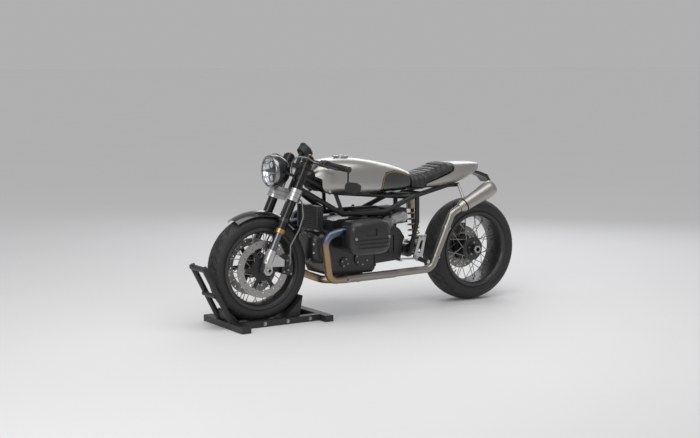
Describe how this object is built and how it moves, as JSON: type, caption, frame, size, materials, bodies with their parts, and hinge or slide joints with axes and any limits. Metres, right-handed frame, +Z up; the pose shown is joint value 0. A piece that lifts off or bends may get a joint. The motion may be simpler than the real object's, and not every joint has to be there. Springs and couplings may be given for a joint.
{
  "type": "cafe racer motorcycle in a front wheel chock",
  "caption": "Flat-twin cafe racer motorcycle with bare metal tank, ribbed seat, wire wheels and high exhaust, standing in a front wheel chock.",
  "frame": {"origin": "on the floor under the middle of the bounding box", "axes": "+X forward, +Y to the rider's left, +Z up"},
  "size_m": [2.1815, 0.9444, 1.0034],
  "materials": {
    "black_frame": "gloss black powder coat",
    "engine_black": "satin black cast alloy",
    "cooler_black": "matt black alloy fins",
    "intake_silver": "satin cast",
    "plastic_black": "matt moulded",
    "exhaust_steel": "brushed, heat tinted near the heads",
    "body_aluminium": "brushed bare aluminium, clear coated",
    "panel_black": "gloss black paint",
    "seat_leather": "black ribbed leather",
    "lamp_red": "dark red lens in a black housing",
    "alloy_silver": "satin machined",
    "fork_black": "gloss black anodised",
    "fork_slider": "dark hard coated steel",
    "collar_gold": "gold anodised",
    "lamp_glass": "clear lens",
    "grip_rubber": "matt ribbed",
    "hose_grey": "braided sheath",
    "chock_black": "black powder coat",
    "tyre_rubber": "matt",
    "disc_steel": "ground, drilled",
    "wheel_black": "gloss black rim and hub, steel spokes",
    "spring_yellow": "gold painted coil"
  },
  "bodies": {
    "chassis": {"frame": "black_frame", "engine_block": "engine_black", "engine_front_cover": "engine_black", "cylinders": "engine_black", "valve_covers": "engine_black", "oil_cooler": "cooler_black", "intakes": "intake_silver", "airbox": "plastic_black", "exhaust_pipes": "exhaust_steel", "muffler": "exhaust_steel", "fuel_tank": "body_aluminium", "knee_panels": "panel_black", "seat": "seat_leather", "tail_cowl": "body_aluminium", "tail_light": "lamp_red", "swingarm": "engine_black", "final_drive": "engine_black", "rear_shock": "spring_yellow", "rear_caliper": "engine_black", "footrests": "alloy_silver"},
    "steering": {"upper_clamp": "fork_black", "lower_clamp": "alloy_silver", "fork_outer_tubes": "fork_black", "fork_inner_tubes": "fork_slider", "fork_collars": "collar_gold", "fork_feet": "alloy_silver", "front_axle": "alloy_silver", "headlight_shell": "fork_black", "headlight_lens": "lamp_glass", "handlebars": "fork_black", "grips": "grip_rubber", "hand_controls": "plastic_black", "bar_end_mirrors": "plastic_black", "gauge": "plastic_black", "front_fender": "panel_black", "front_calipers": "engine_black", "brake_hoses": "hose_grey", "wheel_chock": "chock_black", "chock_cradle": "chock_black"},
    "front_wheel": {"front_tyre": "tyre_rubber", "front_wire_wheel": "wheel_black", "front_discs": "disc_steel"},
    "rear_wheel": {"rear_tyre": "tyre_rubber", "rear_wire_wheel": "wheel_black", "rear_disc": "disc_steel"},
    "filler_lid": {"filler_cap": "alloy_silver"}
  },
  "joints": [
    {"name": "steering_head", "type": "hinge", "parent": "chassis", "child": "steering", "pos_m": [0.45245, 0, 0.78948], "axis": [-0.4305, 0, 0.9026], "range_deg": [-30, 30]},
    {"name": "front_wheel_spin", "type": "hinge", "parent": "steering", "child": "front_wheel", "pos_m": [0.712, 0, 0.315], "axis": [0, 1, 0], "continuous": true},
    {"name": "rear_wheel_spin", "type": "hinge", "parent": "chassis", "child": "rear_wheel", "pos_m": [-0.773, 0, 0.315], "axis": [0, 1, 0], "continuous": true},
    {"name": "filler_lid_hinge", "type": "hinge", "parent": "chassis", "child": "filler_lid", "pos_m": [0.205, 0, 0.9178], "axis": [0, 1, 0], "range_deg": [0, 95]}
  ]
}
